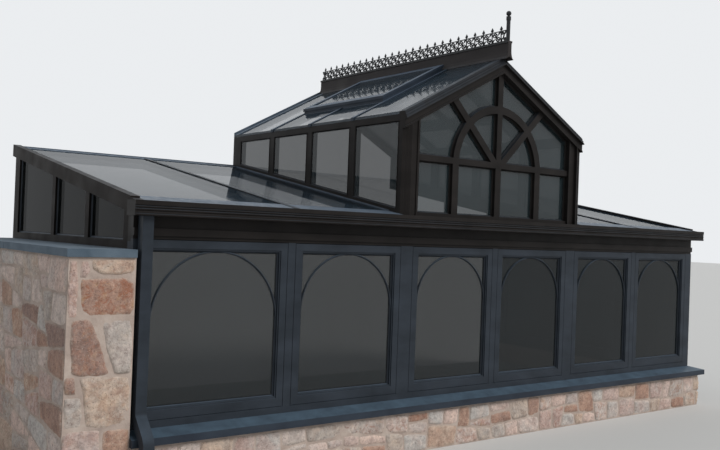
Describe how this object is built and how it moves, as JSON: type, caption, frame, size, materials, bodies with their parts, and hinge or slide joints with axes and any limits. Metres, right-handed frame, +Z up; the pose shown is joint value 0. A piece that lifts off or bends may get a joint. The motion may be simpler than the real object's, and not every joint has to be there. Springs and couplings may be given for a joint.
{
  "type": "lean-to glass greenhouse",
  "caption": "Lean-to glass conservatory with a raised centre gable, fanlight, ridge cresting and casement-style windows on a fieldstone knee wall.",
  "frame": {"origin": "middle of the part's plan at ground level, under the middle of its bounding box", "axes": "+X along the front from the stone end wall on the left, +Y from the front towards the house wall, +Z up"},
  "size_m": [7.662, 3.315, 4.0914],
  "materials": {
    "bronze_frame": "satin dark bronze paint",
    "glass": "clear, slightly reflective insulating glass",
    "fieldstone": "rough mixed fieldstone in pale mortar",
    "bluestone": "sawn bluestone slab",
    "floor_stone": "plain floor slab",
    "lead_flashing": "dull weathered sheet",
    "cast_crest": "black painted casting"
  },
  "bodies": {
    "root": {"bottom_rail": "bronze_frame", "clerestory_frame_left": "bronze_frame", "clerestory_frame_right": "bronze_frame", "clerestory_glass": "glass", "clerestory_kerbs": "bronze_frame", "coping_left": "bluestone", "corner_posts": "bronze_frame", "cresting": "cast_crest", "downspout": "bronze_frame", "eave_flashings": "lead_flashing", "end_wall_left": "fieldstone", "finial": "cast_crest", "floor_slab": "floor_stone", "front_glass": "glass", "front_mullions": "bronze_frame", "front_posts": "bronze_frame", "gable_corner_posts": "bronze_frame", "gable_fanlight": "bronze_frame", "gable_glass": "glass", "gable_glazing_caps": "bronze_frame", "gable_mullions": "bronze_frame", "gable_rafters": "bronze_frame", "gable_rake_trim": "bronze_frame", "gable_roof_glass": "glass", "gable_sill": "bronze_frame", "gable_transom": "bronze_frame", "gutter": "bronze_frame", "header_beam": "bronze_frame", "knee_wall_front": "fieldstone", "knee_wall_right": "fieldstone", "lean_to_bars": "bronze_frame", "lean_to_glass": "glass", "left_end_frame": "bronze_frame", "left_end_glass": "glass", "rake_beam_left": "bronze_frame", "rake_beam_right": "bronze_frame", "ridge_beam": "bronze_frame", "ridge_cap": "bronze_frame", "right_end_frame": "bronze_frame", "right_end_glass_lower": "glass", "right_end_glass_upper": "glass", "roof_vent_glass": "glass", "roof_vent_left": "bronze_frame", "roof_vent_right": "bronze_frame", "sill_front": "bronze_frame", "sill_right": "bronze_frame", "wall_flashings": "lead_flashing", "wall_plates": "bronze_frame", "window_sashes_left": "bronze_frame", "window_sashes_middle": "bronze_frame", "window_sashes_right": "bronze_frame"}
  },
  "joints": []
}
